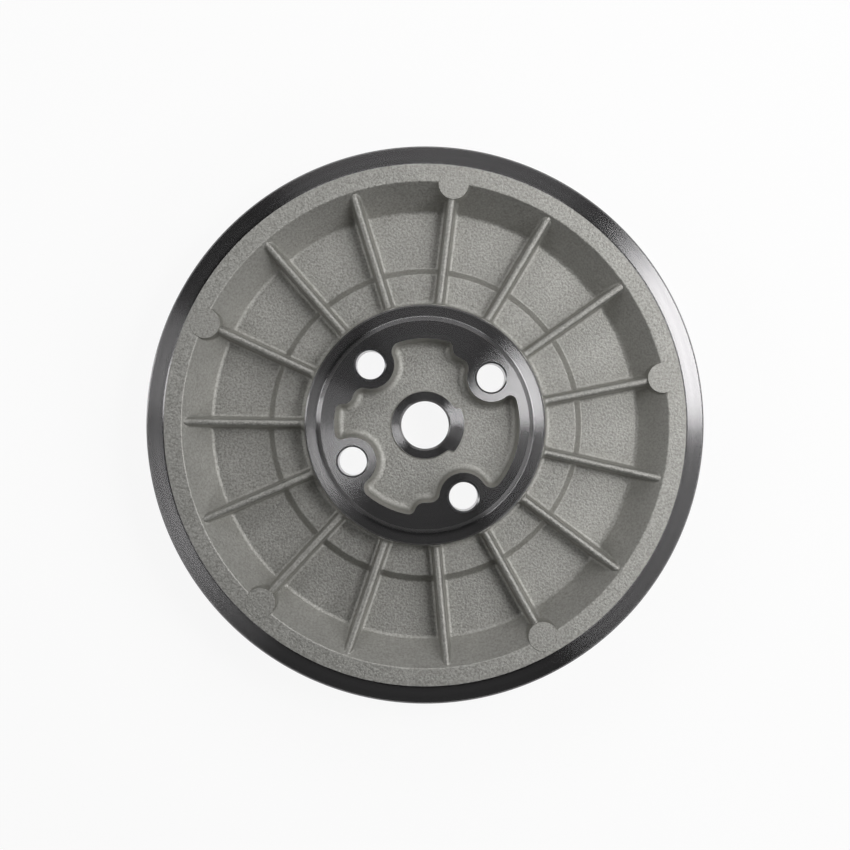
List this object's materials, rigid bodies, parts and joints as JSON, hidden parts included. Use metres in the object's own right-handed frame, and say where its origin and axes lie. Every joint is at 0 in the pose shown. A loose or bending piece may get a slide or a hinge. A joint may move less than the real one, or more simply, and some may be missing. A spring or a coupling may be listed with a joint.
{
  "type": "compressor drive pulley wheel",
  "caption": "Die-cast aluminium belt wheel with a ribbed web, turned rim and hub faces, a bored hub with bolt bosses, and V grooves round its rim.",
  "frame": {"origin": "on the wheel's axis, at the level of the rim's back edge, which the wheel lies on", "axes": "+Z along the axis, out of the ribbed front face; +X and +Y across the wheel, with the first bolt hole 35.5 degrees from +X"},
  "size_m": [0.175, 0.175, 0.03],
  "materials": {
    "cast_aluminium": "shot-blasted die casting with turned faces"
  },
  "bodies": {
    "root": {"wheel": "cast_aluminium"}
  },
  "joints": []
}
